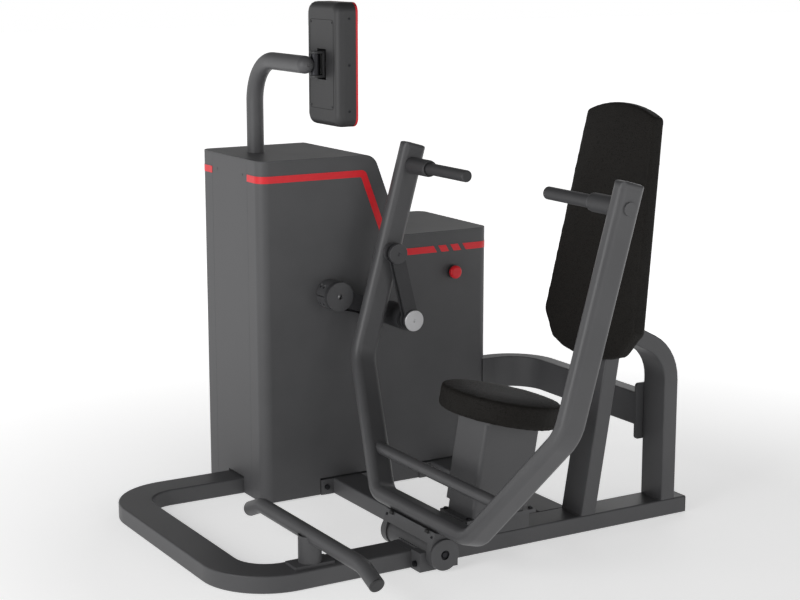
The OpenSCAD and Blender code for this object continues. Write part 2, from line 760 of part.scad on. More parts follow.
// Boss and cap that carry the link's upper pin in the far arm
module link_boss() color([0.15, 0.15, 0.15]) at_link_top() {
  difference() {
    union() {
      rod_x(-arm_in, -arm_in + boss_t, boss_r);
      rod_x(-arm_out - 8, -arm_out, boss_r);
    }
    rod_x(-600, 0, boss_pin_r + 2*fit);
  }
  rod_x(-arm_out - 8, -arm_in + boss_t, boss_pin_r);
  rod_x(-arm_in + boss_t, plate_near[1] - gap, link_pivot_r);
}

// ---------- link ----------

plate_far = [-487, -479];
plate_near = [-467, -459];
module link_plates() color([0.3, 0.3, 0.3]) {
  run = link_vector();
  for (x = [plate_far, plate_near]) difference() {
    at_link_top_frame() translate([x[0], 0, 0]) rotate([90, 0, 90]) linear_extrude(x[1] - x[0]) {
      circle(link_eye_r);
      translate(run) circle(link_eye_r);
      rotate(atan2(run[1], run[0])) translate([0, -link_w/2]) square([norm(run), link_w]);
    }
    at_link_top_frame() rod_x(-700, 0, sleeve_seat_r);
    at_crank_end() rod_x(-700, 0, pin_r + fit);
  }
}
function link_top() = [pivot_y + arm_off*cos(lever_lean) + link_s*sin(lever_lean),
                       pivot_z - arm_off*sin(lever_lean) + link_s*cos(lever_lean)];
function link_vector() = [crank_end_y, crank_end_z] - link_top();
module at_link_top_frame() translate([0, link_top()[0], link_top()[1]]) children();

// Needle sleeve in the link's upper eyes and the fixed lower pin
module link_pin() color("silver") {
  at_link_top_frame() difference() {
    rod_x(plate_far[0], plate_near[1], sleeve_seat_r - fit);
    rod_x(-700, 0, link_pivot_r + fit);
  }
  at_crank_end() rod_x(-560, plate_near[1] + 2, pin_r);
  at_crank_end() difference() {
    rod_x(plate_far[1], plate_near[0], 17);
    rod_x(-700, 0, pin_r + fit);
  }
}

module pin_caps() {
  color([0.35, 0.35, 0.35]) at_link_top_frame() difference() {
    rod_x(plate_near[1], plate_near[1] + 5, link_eye_r);
    rod_x(plate_near[1] + 2, 0, 4);
  }
  color("silver") at_crank_end() difference() {
    rod_x(plate_near[1] + 2, plate_near[1] + 8, 32);
    rod_x(plate_near[1] + 5, 0, 4);
  }
}

// ---------- crank and drive ----------

module drive_shaft() color("silver") {
  at_drive() {
    rod_x(tower_far + 40, hub_near - 12, drive_shaft_r);
    difference() {
      rod_x(belt_x[0], belt_x[1], big_pulley_r);
      rod_x(belt_x[0] - 1, belt_x[1] + 1, drive_shaft_r);
      for (i = [0:5]) rotate([60*i, 0, 0]) translate([0, 86, 0]) rod_x(-1000, -700, 34);
    }
  }
}

module drive_hub() color([0.32, 0.32, 0.32]) at_drive() difference() {
  rod_x(tower_near + 2, hub_near, hub_r);
  rod_x(-700, hub_near - 12, drive_shaft_r + fit);
  translate([hub_near - 7, 0, 0]) rod_x(0, 20, 8);
  translate([tower_near, -60, -1.2]) cube([-tower_near + arm_plate[0] - 3, 120, 2.4]);
  for (x = clamp_x, s = [-1, 1]) translate([x, s*clamp_at, 0])
    cylinder(200, clamp_r, clamp_r, center = true);
  rod_x(arm_plate[0], arm_plate[1], 100);
}

module hub_screws() color("silver") at_drive() for (x = clamp_x, s = [-1, 1])
  translate([x, s*clamp_at, -24]) cylinder(50, clamp_r - 2*fit, clamp_r - 2*fit);

module crank_arm() color([0.2, 0.2, 0.2]) difference() {
  union() {
    at_drive() rod_x(arm_plate[0], arm_plate[1], hub_r);
    at_crank_end() rod_x(arm_plate[0], eye_near, eye_r);
    at_drive() rotate([-crank_down, 0, 0]) translate([arm_plate[0], 0, -26])
      cube([arm_plate[1] - arm_plate[0], crank_r, 52]);
  }
  at_crank_end() rod_x(-700, 0, eye_bore);
  at_drive() rod_x(-700, 0, drive_shaft_r + fit);
}

module motor_pulley() color("silver") translate([0, motor_y, motor_z]) {
  rod_x(belt_x[0] - 55, belt_x[0], 14);
  rod_x(belt_x[0], belt_x[1], small_pulley_r);
}

// ---------- screen ----------

module screen_post() color(steel) {
  translate([post_x, post_y, tower_top - 5]) difference() {
    cylinder(screen_z - post_bend - tower_top + 5, post_r, post_r);
    translate([0, 0, -1]) cylinder(500, post_r - wall, post_r - wall);
  }
  translate([post_x + post_bend, post_y, screen_z - post_bend]) rotate([90, 0, 0])
    rotate([0, 0, 90]) rotate_extrude(angle = 90) translate([post_bend, 0]) difference() {
      circle(post_r);
      circle(post_r - wall);
    }
  translate([0, post_y, screen_z]) difference() {
    union() {
      rod_x(post_x + post_bend, post_end, post_r);
      translate([post_end, 0, 0]) intersection() {
        sphere(post_r);
        rod_x(0, 60, post_r);
      }
    }
    rod_x(post_x + post_bend - 1, post_end - 10, post_r - wall);
    translate([post_end + 22, 0, 0]) rod_x(0, 20, 6);
    translate([screen_x, swivel_y - post_y, -60]) cylinder(120, barrel_r, barrel_r);
  }
}

// Upright barrel on the arm's end that the screen turns on
module screen_barrel() color("gray") difference() {
  translate([screen_x, swivel_y, screen_z - 30]) cylinder(60, barrel_r - 0.2, barrel_r - 0.2);
  translate([screen_x, swivel_y, screen_z - 40]) cylinder(80, yoke_pin_r + fit, yoke_pin_r + fit);
}

module screen_clevis() color([0.25, 0.25, 0.25]) {
  translate([screen_x, swivel_y, screen_z]) {
    translate([0, 0, -yoke_half]) cylinder(2*yoke_half, yoke_pin_r, yoke_pin_r);
    for (z = [-yoke_half, yoke_half - 7]) translate([0, 0, z]) difference() {
      union() {
        cylinder(7, yoke_w/2, yoke_w/2);
        translate([-yoke_w/2, 0, 0]) cube([yoke_w, 24, 7]);
      }
      translate([0, 0, -1]) cylinder(9, yoke_pin_r, yoke_pin_r);
    }
    translate([-yoke_w/2, 17, 7 - yoke_half]) cube([yoke_w, 7, 2*yoke_half - 14]);
  }
  translate([screen_x, tilt_y, screen_z]) difference() {
    union() {
      rod_x(-yoke_w/2, yoke_w/2, 9);
      translate([-yoke_w/2, -13, -9]) cube([yoke_w, 13, 18]);
    }
    rod_x(-20, 20, tilt_pin_r + fit);
  }
}

module screen_plan(d) translate([screen_x, screen_z]) round_rect(screen_w - 2*d, screen_h - 2*d, 28 - d/2);
module screen_slab(y0, y1, d) translate([0, y1, 0]) rotate([90, 0, 0]) linear_extrude(y1 - y0)
  screen_plan(d);

// The recess in the case's back that the yoke reaches into
module screen_pocket() translate([screen_x - pocket[0]/2, screen_back - 5, screen_z - pocket[2]/2])
  cube(pocket);

module screen_case() color([0.16, 0.16, 0.16]) {
  difference() {
    hull() {
      for (a = [0:18:72]) let (y = screen_back + case_round*(1 - cos(a)))
        screen_slab(y, y + 1, case_inset*(1 - sin(a)), $fn = 32);
      screen_slab(screen_back + case_round, screen_back + 60, 0, $fn = 32);
    }
    translate([0, 3, 0]) screen_slab(screen_back + 20, screen_back + 60, 5);
    screen_pocket();
  }
  difference() {
    translate([screen_x - pocket[0]/2 - 4, screen_back + 4, screen_z - pocket[2]/2 - 4])
      cube([pocket[0] + 8, pocket[1] - 4, pocket[2] + 8]);
    screen_pocket();
  }
  translate([screen_x, tilt_y, screen_z]) rod_x(-27, 27, tilt_pin_r);
}

module screen_glass() color("crimson") {
  difference() {
    screen_slab(screen_back + 60, screen_back + screen_t, 0);
    translate([0, 1, 0]) screen_slab(screen_back + 61, screen_back + screen_t, 6);
  }
  color("black") screen_slab(screen_back + 62, screen_back + screen_t - 2, 6);
}

front_loop();
pivot_block();
pivot_housing();
pivot_bushes();
long_rail();
rail_end_cap();
cross_tubes();
cross_tube_flanges();
frame_bolts();
footrest_post();
footrest_bar();
footrest_caps();
seat_pedestal();
seat_post();
slant_post();
rear_post();
arc_tube();
arc_flange();
back_board();
back_pad();
tower_base();
tower_uprights();
near_cover();
far_cover();
front_panel();
rear_panel();
tower_lid();
stripe_trim();
drive_motor();
drive_belt();
shaft_bearings();
control_box();
button_collar();
screen_post();
screen_barrel();
lever_frame();
lever_tops();
lever_cross_bar();
lever_saddle();
pivot_shaft();
pivot_caps();
handle_bars();
hand_sleeves();
sleeve_rings();
hand_grips();
link_boss();
link_plates();
link_pin();
pin_caps();
drive_shaft();
drive_hub();
crank_arm();
hub_screws();
motor_pulley();
seat_sleeve();
seat_cushion();
stop_button();
screen_clevis();
screen_case();
screen_glass();
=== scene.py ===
import json
import math

import bpy
from mathutils import Matrix, Vector


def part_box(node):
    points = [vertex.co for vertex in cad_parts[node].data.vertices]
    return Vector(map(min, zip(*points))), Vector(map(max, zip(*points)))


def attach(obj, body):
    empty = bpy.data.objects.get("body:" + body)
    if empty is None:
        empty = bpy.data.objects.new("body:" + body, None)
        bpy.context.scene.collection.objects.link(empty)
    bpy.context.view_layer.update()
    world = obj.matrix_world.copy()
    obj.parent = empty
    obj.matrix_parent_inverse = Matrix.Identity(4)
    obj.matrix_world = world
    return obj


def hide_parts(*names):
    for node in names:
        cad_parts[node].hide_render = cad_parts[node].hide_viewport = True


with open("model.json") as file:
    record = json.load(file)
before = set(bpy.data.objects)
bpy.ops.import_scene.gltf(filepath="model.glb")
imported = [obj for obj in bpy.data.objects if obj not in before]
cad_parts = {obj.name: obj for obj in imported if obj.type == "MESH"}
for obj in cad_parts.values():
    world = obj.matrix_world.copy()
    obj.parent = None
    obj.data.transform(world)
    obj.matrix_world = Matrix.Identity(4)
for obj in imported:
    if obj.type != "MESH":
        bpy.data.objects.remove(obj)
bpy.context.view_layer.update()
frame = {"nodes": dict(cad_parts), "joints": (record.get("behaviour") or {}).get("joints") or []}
nodes = frame["nodes"]
bpy.ops.object.select_all(action="DESELECT")

# ---------------------------------------------------------------------------
# Camera: ahead of the sitter and to their left, a little above the tower, and
# far enough off that the upright tubes stay nearly parallel.
camera_at = Vector((3.979, -2.668, 1.667))
sight_line = Vector((-0.8430, 0.5010, -0.1965))
bpy.ops.object.camera_add(
    location=camera_at, rotation=sight_line.to_track_quat("-Z", "Y").to_euler()
)
camera = bpy.context.object
camera.name = "camera"
camera.data.lens = 79.43
bpy.context.scene.camera = camera

# ---------------------------------------------------------------------------
# Studio: a pale seamless floor that glows as painted light, less near the machine
# and more far off, a white surround, one broad soft light at the front left of the
# machine and two weaker ones that fill its sides.
bpy.ops.mesh.primitive_plane_add(size=60, location=(0, 0, -0.001))
floor = bpy.context.object
floor.name = "studio_floor"
paper = bpy.data.materials.new("floor_paper")
paper.use_nodes = True
paper_shader = paper.node_tree.nodes["Principled BSDF"]
paper_shader.inputs["Base Color"].default_value = (0.86, 0.86, 0.86, 1)
paper_shader.inputs["Roughness"].default_value = 0.9
# Painted light: the floor paper glows, at half strength within about a metre of the machine and rising to
# nearly full strength some three metres out.
paper_shader.inputs["Emission Color"].default_value = (1, 1, 1, 1)
paper_where = paper.node_tree.nodes.new("ShaderNodeTexCoord")
paper_reach = paper.node_tree.nodes.new("ShaderNodeVectorMath")
paper_reach.operation = "LENGTH"
paper.node_tree.links.new(paper_where.outputs["Object"], paper_reach.inputs[0])
paper_painted_glow = paper.node_tree.nodes.new("ShaderNodeMapRange")
paper_painted_glow.inputs["From Min"].default_value = 1.1
paper_painted_glow.inputs["From Max"].default_value = 3.2
paper_painted_glow.inputs["To Min"].default_value = 0.5
paper_painted_glow.inputs["To Max"].default_value = 0.95
paper.node_tree.links.new(paper_reach.outputs["Value"], paper_painted_glow.inputs["Value"])
paper.node_tree.links.new(paper_painted_glow.outputs["Result"], paper_shader.inputs["Emission Strength"])
floor.data.materials.append(paper)

surround = bpy.data.worlds.new("white_surround")
surround.use_nodes = True
sky = surround.node_tree
sky_where = sky.nodes.new("ShaderNodeTexCoord")
sky_split = sky.nodes.new("ShaderNodeSeparateXYZ")
sky.links.new(sky_where.outputs["Generated"], sky_split.inputs["Vector"])
sky_fade = sky.nodes.new("ShaderNodeMapRange")
sky_fade.inputs["From Min"].default_value = 0.05
sky_fade.inputs["From Max"].default_value = 0.5
sky_fade.inputs["To Min"].default_value = 1.0
sky_fade.inputs["To Max"].default_value = 0.1
sky.links.new(sky_split.outputs["Z"], sky_fade.inputs["Value"])
sky.links.new(sky_fade.outputs["Result"], sky.nodes["Background"].inputs["Strength"])
sky.nodes["Background"].inputs["Color"].default_value = (1, 1, 1, 1)
bpy.context.scene.world = surround
bpy.context.scene.view_settings.view_transform = "Standard"

lamp_target = Vector((-0.3, -0.1, 0.6))
for lamp_name, lamp_at, lamp_size, watts in (
    ("key_light", (0.9, -4.6, 1.9), 2.6, 84),
    ("side_light", (4.6, 0.8, 1.7), 2.2, 18),
    ("back_light", (-2.8, 3.4, 2.4), 2.4, 20),
):
    aim = (lamp_target - Vector(lamp_at)).to_track_quat("-Z", "Y").to_euler()
    bpy.ops.object.light_add(type="AREA", location=lamp_at, rotation=aim)
    lamp = bpy.context.object
    lamp.name = lamp_name
    lamp.data.energy = watts
    lamp.data.size = lamp_size

# ---------------------------------------------------------------------------
# Welded frame: flat 100 by 50 steel tube, bent, sawn and welded, then sprayed
# with one satin dark-grey powder coat that leaves a fine orange-peel surface.
# Each tube keeps its place and gets the small rounded edges of real steel.
coat_grey = (0.068, 0.068, 0.071, 1)
coat_light = (0.082, 0.082, 0.085, 1)
edge_round = 0.0014


def powder_coat(name, dark, light, roughness):
    finish = bpy.data.materials.new(name)
    finish.use_nodes = True
    tree = finish.node_tree
    shader = tree.nodes["Principled BSDF"]
    shader.inputs["Specular IOR Level"].default_value = 0.38
    where = tree.nodes.new("ShaderNodeTexCoord")
    cloud = tree.nodes.new("ShaderNodeTexNoise")
    cloud.inputs["Scale"].default_value = 7
    cloud.inputs["Detail"].default_value = 3
    tree.links.new(where.outputs["Object"], cloud.inputs["Vector"])
    speck = tree.nodes.new("ShaderNodeTexNoise")
    speck.inputs["Scale"].default_value = 620
    speck.inputs["Detail"].default_value = 2
    tree.links.new(where.outputs["Object"], speck.inputs["Vector"])
    spread = tree.nodes.new("ShaderNodeMath")
    spread.operation = "MULTIPLY_ADD"
    spread.inputs[1].default_value = 0.35
    tree.links.new(speck.outputs["Fac"], spread.inputs[0])
    tree.links.new(cloud.outputs["Fac"], spread.inputs[2])
    tint = tree.nodes.new("ShaderNodeValToRGB")
    tint.color_ramp.elements[0].position = 0.45
    tint.color_ramp.elements[0].color = dark
    tint.color_ramp.elements[1].position = 0.95
    tint.color_ramp.elements[1].color = light
    tree.links.new(spread.outputs["Value"], tint.inputs["Fac"])
    tree.links.new(tint.outputs["Color"], shader.inputs["Base Color"])
    gloss = tree.nodes.new("ShaderNodeMapRange")
    gloss.inputs["To Min"].default_value = roughness - 0.05
    gloss.inputs["To Max"].default_value = roughness + 0.07
    tree.links.new(cloud.outputs["Fac"], gloss.inputs["Value"])
    tree.links.new(gloss.outputs["Result"], shader.inputs["Roughness"])
    peel = tree.nodes.new("ShaderNodeBump")
    peel.inputs["Strength"].default_value = 0.16
    peel.inputs["Distance"].default_value = 0.0004
    tree.links.new(speck.outputs["Fac"], peel.inputs["Height"])
    tree.links.new(peel.outputs["Normal"], shader.inputs["Normal"])
    return finish


def dress(piece, finish):
    piece.data.materials.clear()
    piece.data.materials.append(finish)


def softened(node, body, finish, edge=edge_round, steps=2):
    piece = bpy.data.objects.new(node + "_made", nodes[node].data.copy())
    bpy.context.collection.objects.link(piece)
    bpy.ops.object.select_all(action="DESELECT")
    piece.select_set(True)
    bpy.context.view_layer.objects.active = piece
    bpy.ops.mesh.customdata_custom_splitnormals_clear()
    bpy.ops.object.mode_set(mode="EDIT")
    bpy.ops.mesh.select_all(action="SELECT")
    bpy.ops.mesh.remove_doubles(threshold=0.00002)
    bpy.ops.mesh.dissolve_limited(angle_limit=math.radians(0.6))
    bpy.ops.object.mode_set(mode="OBJECT")
    bpy.ops.object.modifier_add(type="BEVEL")
    rounding = piece.modifiers[-1]
    rounding.limit_method = "ANGLE"
    rounding.angle_limit = math.radians(38)
    rounding.width = edge
    rounding.segments = steps
    bpy.ops.object.modifier_apply(modifier=rounding.name)
    bpy.ops.object.shade_smooth_by_angle(angle=math.radians(32))
    bpy.ops.object.modifier_add(type="WEIGHTED_NORMAL")
    piece.modifiers[-1].keep_sharp = True
    piece.modifiers[-1].weight = 100
    bpy.ops.object.modifier_apply(modifier=piece.modifiers[-1].name)
    dress(piece, finish)
    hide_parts(node)
    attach(piece, body)
    return piece


frame_coat = powder_coat("frame_powder_coat", coat_grey, coat_light, 0.44)
for tube in (
    "front_loop", "long_rail", "cross_tubes", "cross_tube_flanges", "pivot_block",
    "pivot_housing", "seat_pedestal", "slant_post", "rear_post", "arc_tube",
    "arc_flange", "footrest_post", "footrest_bar", "screen_post",
):
    softened(tube, "frame", frame_coat)

# ---------------------------------------------------------------------------
# Push lever: one oval-cornered tube bent into a U, two saddle ears welded under
# it, a round cross bar between the arms and turned caps over the pivot shaft.
lever_coat = powder_coat("lever_powder_coat", coat_grey, coat_light, 0.38)
for part in ("lever_frame", "lever_cross_bar", "lever_saddle"):
    softened(part, "lever", lever_coat)
softened("lever_tops", "lever", lever_coat, 0.0006, 2)
pivot_discs = softened("pivot_caps", "lever", lever_coat, 0.0016, 3)

# ---------------------------------------------------------------------------
# Bright steel: the pivot shaft, pins, screws and the drive shaft are turned bar,
# plated, with faint turning marks round them. The handle bars are painted.
def turned_steel(name, colour, roughness):
    finish = bpy.data.materials.new(name)
    finish.use_nodes = True
    tree = finish.node_tree
    shader = tree.nodes["Principled BSDF"]
    shader.inputs["Base Color"].default_value = colour
    shader.inputs["Metallic"].default_value = 1
    where = tree.nodes.new("ShaderNodeTexCoord")
    stretch = tree.nodes.new("ShaderNodeMapping")
    stretch.inputs["Scale"].default_value = (2600, 90, 90)
    tree.links.new(where.outputs["Object"], stretch.inputs["Vector"])
    marks = tree.nodes.new("ShaderNodeTexNoise")
    marks.inputs["Scale"].default_value = 1
    marks.inputs["Detail"].default_value = 3
    tree.links.new(stretch.outputs["Vector"], marks.inputs["Vector"])
    gloss = tree.nodes.new("ShaderNodeMapRange")
    gloss.inputs["To Min"].default_value = roughness - 0.08
    gloss.inputs["To Max"].default_value = roughness + 0.12
    tree.links.new(marks.outputs["Fac"], gloss.inputs["Value"])
    tree.links.new(gloss.outputs["Result"], shader.inputs["Roughness"])
    groove = tree.nodes.new("ShaderNodeBump")
    groove.inputs["Strength"].default_value = 0.08
    groove.inputs["Distance"].default_value = 0.0003
    tree.links.new(marks.outputs["Fac"], groove.inputs["Height"])
    tree.links.new(groove.outputs["Normal"], shader.inputs["Normal"])
    return finish


plated = turned_steel("plated_steel", (0.55, 0.55, 0.56, 1), 0.32)
blackened = turned_steel("blackened_steel", (0.035, 0.035, 0.038, 1), 0.42)
for piece_name in ("pivot_shaft", "motor_pulley", "shaft_bearings", "drive_shaft", "link_pin"):
    dress(nodes[piece_name], plated)
dress(nodes["seat_post"], frame_coat)
softened("handle_bars", "lever", lever_coat, 0.0008, 2)
for piece_name in ("frame_bolts", "screen_barrel"):
    dress(nodes[piece_name], blackened)
softened("hub_screws", "crank", blackened, 0.0012, 2)
# Every face inside the caps' central recess takes blackened steel: the plug in its middle is blackened,
# and the dark on the recess walls and floor is painted shade.
pivot_discs.data.materials.append(blackened)
lever_pivot = Vector(frame["joints"][0]["pos_m"])
recess_r = 0.0136
for disc_face in pivot_discs.data.polygons:
    corners = [pivot_discs.data.vertices[index].co for index in disc_face.vertices]
    reach_r = max(math.hypot(at.y - lever_pivot.y, at.z - lever_pivot.z) for at in corners)
    if reach_r < recess_r:
        disc_face.material_index = 1
dress(nodes["pivot_bushes"], turned_steel("bush_bronze", (0.45, 0.30, 0.13, 1), 0.35))

# ---------------------------------------------------------------------------
# Crank and link: a split hub clamped on the drive shaft, a flat crank with a
# turned eye, and two flat link plates between a dark disc and a bright one.
forged = powder_coat("black_oxide_plate", (0.030, 0.030, 0.032, 1), (0.045, 0.045, 0.048, 1), 0.4)
hub_grey = powder_coat("hub_coat", (0.055, 0.055, 0.058, 1), (0.07, 0.07, 0.073, 1), 0.36)
softened("drive_hub", "crank", hub_grey, 0.0012, 2)
softened("crank_arm", "crank", forged, 0.0016, 3)
softened("link_plates", "link", forged, 0.001, 2)
softened("link_boss", "lever", hub_grey, 0.0016, 3)
pin_discs = softened("pin_caps", "link", hub_grey, 0.0012, 3)
pin_discs.data.materials.append(plated)
bright_below = 0.66
for facet in pin_discs.data.polygons:
    if facet.center.z < bright_below:
        facet.material_index = 1

# ---------------------------------------------------------------------------
# Tower: sheet-steel covers folded round a tube base, a lid that follows the
# step, a narrow front panel with two screws and a louvred back panel.
tower_coat = powder_coat("tower_powder_coat", coat_grey, coat_light, 0.5)
for sheet in ("near_cover", "far_cover", "front_panel", "rear_panel", "tower_lid"):
    softened(sheet, "frame", tower_coat, 0.0008, 2)
for inner in ("tower_base", "tower_uprights"):
    dress(nodes[inner], tower_coat)

red_paint = bpy.data.materials.new("stripe_red")
red_paint.use_nodes = True
red_tree = red_paint.node_tree
red_shader = red_tree.nodes["Principled BSDF"]
red_shader.inputs["Specular IOR Level"].default_value = 0.3
red_shader.inputs["Coat Weight"].default_value = 0.08
red_shader.inputs["Coat Roughness"].default_value = 0.3
red_where = red_tree.nodes.new("ShaderNodeTexCoord")
red_cloud = red_tree.nodes.new("ShaderNodeTexNoise")
red_cloud.inputs["Scale"].default_value = 40
red_cloud.inputs["Detail"].default_value = 4
red_tree.links.new(red_where.outputs["Object"], red_cloud.inputs["Vector"])
red_tint = red_tree.nodes.new("ShaderNodeValToRGB")
red_tint.color_ramp.elements[0].color = (0.62, 0.012, 0.020, 1)
red_tint.color_ramp.elements[1].color = (0.74, 0.020, 0.030, 1)
red_tree.links.new(red_cloud.outputs["Fac"], red_tint.inputs["Fac"])
red_tree.links.new(red_tint.outputs["Color"], red_shader.inputs["Base Color"])
red_gloss = red_tree.nodes.new("ShaderNodeMapRange")
red_gloss.inputs["To Min"].default_value = 0.32
red_gloss.inputs["To Max"].default_value = 0.44
red_tree.links.new(red_cloud.outputs["Fac"], red_gloss.inputs["Value"])
red_tree.links.new(red_gloss.outputs["Result"], red_shader.inputs["Roughness"])
dress(nodes["stripe_trim"], red_paint)

# ---------------------------------------------------------------------------
# Moulded and rubber pieces: end caps, collars and boxes in fine-textured black
# plastic, and the belt, in plain rubber.
def moulded(name, dark, light, roughness, grain, depth):
    finish = bpy.data.materials.new(name)
    finish.use_nodes = True
    tree = finish.node_tree
    shader = tree.nodes["Principled BSDF"]
    where = tree.nodes.new("ShaderNodeTexCoord")
    pits = tree.nodes.new("ShaderNodeTexNoise")
    pits.inputs["Scale"].default_value = grain
    pits.inputs["Detail"].default_value = 4
    tree.links.new(where.outputs["Object"], pits.inputs["Vector"])
    tint = tree.nodes.new("ShaderNodeValToRGB")
    tint.color_ramp.elements[0].position = 0.35
    tint.color_ramp.elements[0].color = dark
    tint.color_ramp.elements[1].position = 0.7
    tint.color_ramp.elements[1].color = light
    tree.links.new(pits.outputs["Fac"], tint.inputs["Fac"])
    tree.links.new(tint.outputs["Color"], shader.inputs["Base Color"])
    gloss = tree.nodes.new("ShaderNodeMapRange")
    gloss.inputs["To Min"].default_value = roughness - 0.06
    gloss.inputs["To Max"].default_value = roughness + 0.08
    tree.links.new(pits.outputs["Fac"], gloss.inputs["Value"])
    tree.links.new(gloss.outputs["Result"], shader.inputs["Roughness"])
    texture = tree.nodes.new("ShaderNodeBump")
    texture.inputs["Strength"].default_value = 0.25
    texture.inputs["Distance"].default_value = depth
    tree.links.new(pits.outputs["Fac"], texture.inputs["Height"])
    tree.links.new(texture.outputs["Normal"], shader.inputs["Normal"])
    return finish


black_plastic = moulded(
    "textured_black_plastic", (0.018, 0.018, 0.019, 1), (0.030, 0.030, 0.032, 1), 0.5, 900, 0.0004
)
black_rubber = moulded(
    "black_rubber", (0.014, 0.014, 0.014, 1), (0.026, 0.026, 0.026, 1), 0.68, 420, 0.0005
)
for cap in ("rail_end_cap", "footrest_caps", "button_collar"):
    softened(cap, "frame", black_plastic, 0.0012, 3)
dress(nodes["control_box"], black_plastic)
dress(nodes["drive_belt"], black_rubber)
motor_paint = powder_coat("motor_paint", (0.04, 0.045, 0.05, 1), (0.06, 0.065, 0.07, 1), 0.5)
dress(nodes["drive_motor"], motor_paint)
softened("stop_button", "stop_button", red_paint, 0.0015, 3)

# ---------------------------------------------------------------------------
# Handles: a thick rubber-faced collar against each arm, a thin dark-grey ring, and
# a smooth rubber grip with a rounded end pushed over the bar.
grip_rubber = moulded(
    "grip_rubber", (0.030, 0.030, 0.032, 1), (0.046, 0.046, 0.049, 1), 0.55, 700, 0.0004
)
softened("hand_sleeves", "lever", grip_rubber, 0.0035, 4)
softened("hand_grips", "lever", grip_rubber, 0.0025, 4)
softened("sleeve_rings", "lever", hub_grey, 0.0008, 2)

# ---------------------------------------------------------------------------
# Upholstery: grained black vinyl over moulded foam, pulled round a board. The
# foam pushes the cover out between its edges and the board holds it flat behind.
def grained_vinyl(name):
    finish = bpy.data.materials.new(name)
    finish.use_nodes = True
    tree = finish.node_tree
    shader = tree.nodes["Principled BSDF"]
    shader.inputs["Specular IOR Level"].default_value = 0.16
    where = tree.nodes.new("ShaderNodeTexCoord")
    warp = tree.nodes.new("ShaderNodeTexNoise")
    warp.inputs["Scale"].default_value = 90
    warp.inputs["Detail"].default_value = 2
    tree.links.new(where.outputs["Object"], warp.inputs["Vector"])
    shift = tree.nodes.new("ShaderNodeVectorMath")
    shift.operation = "MULTIPLY_ADD"
    shift.inputs[1].default_value = (0.004, 0.004, 0.004)
    tree.links.new(warp.outputs["Color"], shift.inputs[0])
    tree.links.new(where.outputs["Object"], shift.inputs[2])
    pebble = tree.nodes.new("ShaderNodeTexVoronoi")
    pebble.feature = "DISTANCE_TO_EDGE"
    pebble.inputs["Scale"].default_value = 260
    tree.links.new(shift.outputs["Vector"], pebble.inputs["Vector"])
    crease = tree.nodes.new("ShaderNodeValToRGB")
    crease.color_ramp.elements[0].position = 0.0
    crease.color_ramp.elements[1].position = 0.16
    tree.links.new(pebble.outputs["Distance"], crease.inputs["Fac"])
    tint = tree.nodes.new("ShaderNodeMix")
    tint.data_type = "RGBA"
    tint.inputs["A"].default_value = (0.005, 0.0045, 0.004, 1)
    tint.inputs["B"].default_value = (0.0135, 0.012, 0.0105, 1)
    tree.links.new(crease.outputs["Color"], tint.inputs["Factor"])
    tree.links.new(tint.outputs["Result"], shader.inputs["Base Color"])
    gloss = tree.nodes.new("ShaderNodeMapRange")
    gloss.inputs["To Min"].default_value = 0.8
    gloss.inputs["To Max"].default_value = 0.62
    tree.links.new(crease.outputs["Color"], gloss.inputs["Value"])
    tree.links.new(gloss.outputs["Result"], shader.inputs["Roughness"])
    grain = tree.nodes.new("ShaderNodeBump")
    grain.inputs["Strength"].default_value = 0.4
    grain.inputs["Distance"].default_value = 0.0007
    tree.links.new(crease.outputs["Color"], grain.inputs["Height"])
    tree.links.new(grain.outputs["Normal"], shader.inputs["Normal"])
    return finish


def stuffed(node, body, behind, voxel, swell, cover):
    # behind points from the cover's face to the board that it is pulled over
    piece = bpy.data.objects.new(node + "_padded", nodes[node].data.copy())
    bpy.context.collection.objects.link(piece)
    bpy.ops.object.select_all(action="DESELECT")
    piece.select_set(True)
    bpy.context.view_layer.objects.active = piece
    bpy.ops.object.mode_set(mode="EDIT")
    bpy.ops.mesh.select_all(action="SELECT")
    bpy.ops.mesh.remove_doubles(threshold=0.00002)
    bpy.ops.object.mode_set(mode="OBJECT")
    bpy.ops.object.modifier_add(type="REMESH")
    piece.modifiers[-1].mode = "VOXEL"
    piece.modifiers[-1].voxel_size = voxel
    bpy.ops.object.modifier_apply(modifier=piece.modifiers[-1].name)
    bpy.ops.object.modifier_add(type="SMOOTH")
    piece.modifiers[-1].factor = 0.5
    piece.modifiers[-1].iterations = 1
    bpy.ops.object.modifier_apply(modifier=piece.modifiers[-1].name)
    start = [v.co.copy() for v in piece.data.vertices]
    held = piece.vertex_groups.new(name="held")
    pulled_tight = [v.index for v in piece.data.vertices if v.normal.dot(-behind) < 0.8]
    held.add(pulled_tight, 1, "REPLACE")
    bpy.ops.object.modifier_add(type="CLOTH")
    cloth = piece.modifiers[-1]
    cloth.settings.use_pressure = True
    cloth.settings.uniform_pressure_force = 4
    cloth.settings.effector_weights.gravity = 0
    cloth.settings.vertex_group_mass = "held"
    cloth.settings.quality = 4
    cloth.point_cache.frame_start = 1
    cloth.point_cache.frame_end = 20
    for step in range(1, 21):
        bpy.context.scene.frame_set(step)
    bpy.ops.object.modifier_apply(modifier=cloth.name)
    bpy.context.scene.frame_set(1)
    for vertex, was in zip(piece.data.vertices, start):
        push = vertex.co - was
        if push.length > swell:
            vertex.co = was + push * (swell / push.length)
    bpy.ops.object.modifier_add(type="SMOOTH")
    piece.modifiers[-1].factor = 0.5
    piece.modifiers[-1].iterations = 8
    piece.modifiers[-1].vertex_group = "held"
    piece.modifiers[-1].invert_vertex_group = True
    bpy.ops.object.modifier_apply(modifier=piece.modifiers[-1].name)
    piece.vertex_groups.clear()
    bpy.ops.object.modifier_add(type="SUBSURF")
    piece.modifiers[-1].levels = 1
    piece.modifiers[-1].render_levels = 1
    bpy.ops.object.modifier_apply(modifier=piece.modifiers[-1].name)
    bpy.ops.object.shade_smooth()
    dress(piece, cover)
    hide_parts(node)
    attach(piece, body)
    return piece


